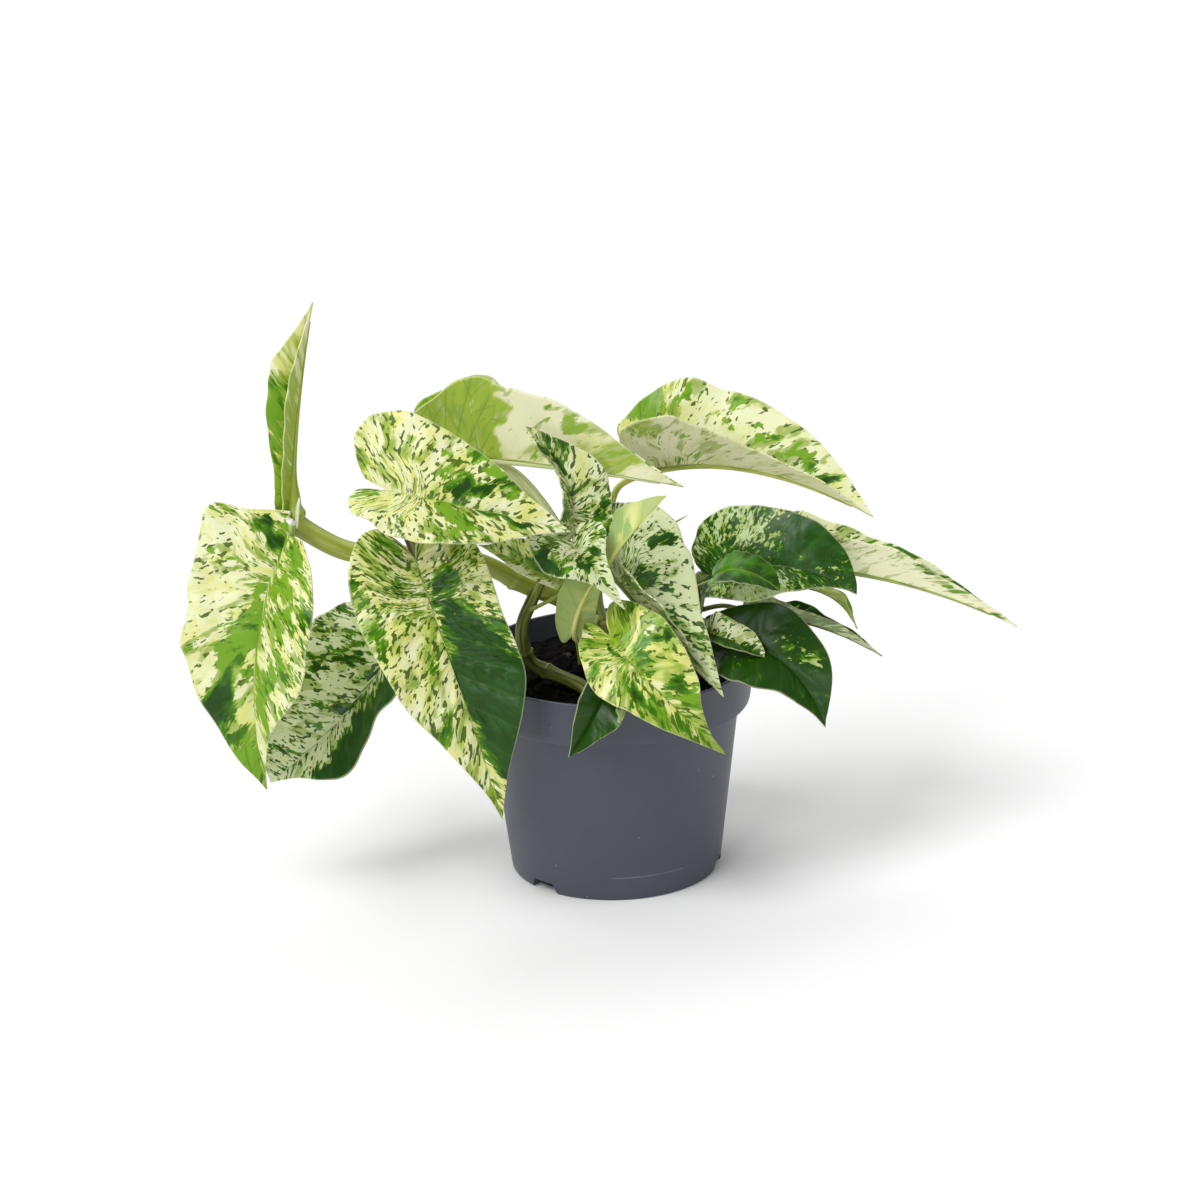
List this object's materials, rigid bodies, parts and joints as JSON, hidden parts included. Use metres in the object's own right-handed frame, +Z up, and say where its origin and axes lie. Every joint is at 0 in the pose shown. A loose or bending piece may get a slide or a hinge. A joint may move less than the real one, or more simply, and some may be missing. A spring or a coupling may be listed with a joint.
{
  "type": "potted plant",
  "caption": "Trailing variegated house plant with heart-shaped marbled leaves in a tapered plastic grower's pot.",
  "frame": {"origin": "middle of the pot's flat underside", "axes": "+Z up; +X to the right along the plant's longest spread; the plant's open side faces -Y"},
  "size_m": [0.3486, 0.1362, 0.2573],
  "materials": {
    "pot": "moulded dark grey plastic, satin",
    "soil": "loose dark potting mix of peat and bark, matt",
    "stem": "living green stem, satin",
    "leaf_marbled": "cream and green marbled leaf, waxy satin",
    "leaf_green": "green leaf with few pale flecks, waxy satin",
    "leaf_pale": "pale yellow-green leaf, waxy satin"
  },
  "bodies": {
    "root": {"pot": "pot", "soil": "soil", "stem_left": "stem", "stem_front": "stem", "stem_middle": "stem", "stem_right": "stem", "leaf_left_upright": "leaf_pale", "leaf_left_hanging": "leaf_marbled", "leaf_left_behind": "leaf_marbled", "leaf_front_left": "leaf_marbled", "leaf_upper_left": "leaf_marbled", "leaf_top_middle": "leaf_pale", "leaf_top_right": "leaf_marbled", "leaf_middle_upright": "leaf_marbled", "leaf_middle_marbled": "leaf_marbled", "leaf_middle_left": "leaf_marbled", "leaf_middle_young": "leaf_pale", "leaf_middle_right": "leaf_marbled", "leaf_front_middle": "leaf_marbled", "leaf_front_small": "leaf_green", "leaf_right_marbled": "leaf_marbled", "leaf_right_plain": "leaf_green", "leaf_far_right": "leaf_marbled", "leaf_right_olive": "leaf_marbled", "leaf_right_striped": "leaf_marbled", "leaf_right_dark": "leaf_green", "leaf_right_inner": "leaf_marbled"}
  },
  "joints": []
}
